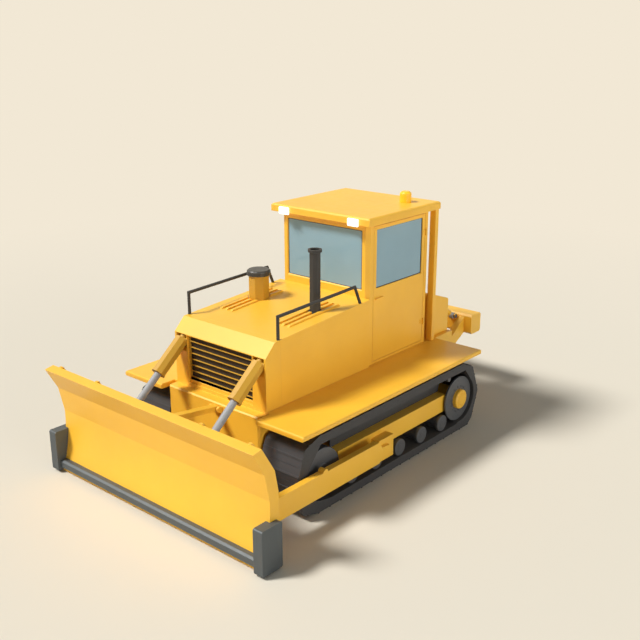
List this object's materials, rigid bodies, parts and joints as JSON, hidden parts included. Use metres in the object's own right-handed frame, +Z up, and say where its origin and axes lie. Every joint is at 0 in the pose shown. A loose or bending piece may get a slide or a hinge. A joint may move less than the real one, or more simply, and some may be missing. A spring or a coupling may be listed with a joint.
{
  "type": "crawler dozer",
  "caption": "Crawler bulldozer with a liftable curved front blade, enclosed cab with hinged doors, continuous tracks and a hinged rear ripper.",
  "frame": {"origin": "centre of the machine's bounding box, on the ground", "axes": "+X is the machine's left side, -Y is forward towards the blade, +Z is up"},
  "size_m": [3.644, 6.022, 3.207],
  "materials": {
    "yellow_paint": "smooth bright yellow paint",
    "dark_paint": "dark grey satin paint",
    "track_steel": "dark grey worn track steel",
    "wear_steel": "grey-blue hardened wear steel",
    "running_steel": "grey satin cast steel",
    "rod_chrome": "polished cylinder rod",
    "window_glass": "grey-blue safety glass",
    "lamp": "white lamp lens",
    "beacon_lens": "yellow beacon dome",
    "seat_cloth": "dark woven seat cover",
    "dark_plastic": "dark grey moulded plastic",
    "engine_iron": "dark painted iron"
  },
  "bodies": {
    "chassis": {"main_frame": "yellow_paint", "radiator_guard": "yellow_paint", "grille": "yellow_paint", "engine_and_radiator": "engine_iron", "engine_hood": "yellow_paint", "exhaust_stack": "dark_paint", "pre_cleaner": "yellow_paint", "handrails": "dark_paint", "fenders": "yellow_paint", "cab_frame": "yellow_paint", "cab_floor": "dark_plastic", "cab_roof": "yellow_paint", "windshield": "window_glass", "rear_window": "window_glass", "roof_lamps": "lamp", "beacon": "beacon_lens", "rops_posts": "yellow_paint", "fuel_tank": "yellow_paint", "seat_base": "dark_paint", "operator_seat": "seat_cloth", "controls": "dark_plastic", "track_left": "track_steel", "track_right": "track_steel", "track_frames": "yellow_paint", "track_guards": "track_steel", "final_drives": "yellow_paint", "sprockets": "running_steel", "idlers": "running_steel", "track_rollers": "running_steel", "ripper_mount": "yellow_paint"},
    "blade": {"mouldboard": "yellow_paint", "cutting_edge": "wear_steel", "end_bits": "wear_steel", "push_arm_left": "yellow_paint", "push_arm_right": "yellow_paint"},
    "lift_barrel_left": {"lift_barrel_left": "yellow_paint"},
    "lift_barrel_right": {"lift_barrel_right": "yellow_paint"},
    "lift_rod_left": {"lift_rod_left": "rod_chrome"},
    "lift_rod_right": {"lift_rod_right": "rod_chrome"},
    "brace": {"brace_link": "yellow_paint"},
    "ripper": {"ripper_frame": "yellow_paint", "ripper_shank": "wear_steel"},
    "ripper_barrels": {"ripper_barrels": "yellow_paint"},
    "ripper_rods": {"ripper_rods": "rod_chrome"},
    "door_left": {"door_left": "yellow_paint", "door_glass_left": "window_glass"},
    "door_right": {"door_right": "yellow_paint", "door_glass_right": "window_glass"}
  },
  "joints": [
    {"name": "blade_lift", "type": "hinge", "parent": "chassis", "child": "blade", "pos_m": [0, -0.42, 0.39], "axis": [-1, 0, 0], "range_deg": [-5.5, 13]},
    {"name": "lift_swing_left", "type": "hinge", "parent": "chassis", "child": "lift_barrel_left", "pos_m": [0.645, -1.796, 1.679], "axis": [-1, 0, 0], "range_deg": [-9, 20.5]},
    {"name": "lift_stroke_left", "type": "slide", "parent": "lift_barrel_left", "child": "lift_rod_left", "axis": [0, -0.7681, -0.6404], "range_m": [-0.42, 0.18]},
    {"name": "lift_swing_right", "type": "hinge", "parent": "chassis", "child": "lift_barrel_right", "pos_m": [-0.645, -1.796, 1.679], "axis": [-1, 0, 0], "range_deg": [-9, 20.5]},
    {"name": "lift_stroke_right", "type": "slide", "parent": "lift_barrel_right", "child": "lift_rod_right", "axis": [0, -0.7681, -0.6404], "range_m": [-0.42, 0.18]},
    {"name": "brace_swing", "type": "hinge", "parent": "chassis", "child": "brace", "pos_m": [0.11, -1.995, 1.06], "axis": [-1, 0, 0], "range_deg": [-20, 46.5]},
    {"name": "ripper_lift", "type": "hinge", "parent": "chassis", "child": "ripper", "pos_m": [0, 2.13, 0.56], "axis": [1, 0, 0], "range_deg": [-35, 4]},
    {"name": "ripper_swing", "type": "hinge", "parent": "chassis", "child": "ripper_barrels", "pos_m": [0, 2.13, 1.43], "axis": [1, 0, 0], "range_deg": [-14, 2]},
    {"name": "ripper_stroke", "type": "slide", "parent": "ripper_barrels", "child": "ripper_rods", "axis": [0, 0.8531, -0.5217], "range_m": [-0.055, 0.43]},
    {"name": "door_swing_left", "type": "hinge", "parent": "chassis", "child": "door_left", "pos_m": [0.742, 1.292, 2], "axis": [0, 0, 1], "range_deg": [0, 95]},
    {"name": "door_swing_right", "type": "hinge", "parent": "chassis", "child": "door_right", "pos_m": [-0.742, 1.292, 2], "axis": [0, 0, -1], "range_deg": [0, 95]}
  ],
  "couplings": [
    {"joint": "lift_swing_left", "follows": "blade_lift", "ratio": 1.5},
    {"joint": "lift_stroke_left", "follows": "blade_lift", "m_per_rad": -1.8105},
    {"joint": "lift_swing_right", "follows": "blade_lift", "ratio": 1.5},
    {"joint": "lift_stroke_right", "follows": "blade_lift", "m_per_rad": -1.8105},
    {"joint": "brace_swing", "follows": "blade_lift", "ratio": 3.5},
    {"joint": "ripper_swing", "follows": "ripper_lift", "ratio": 0.38},
    {"joint": "ripper_stroke", "follows": "ripper_lift", "m_per_rad": -0.7}
  ]
}
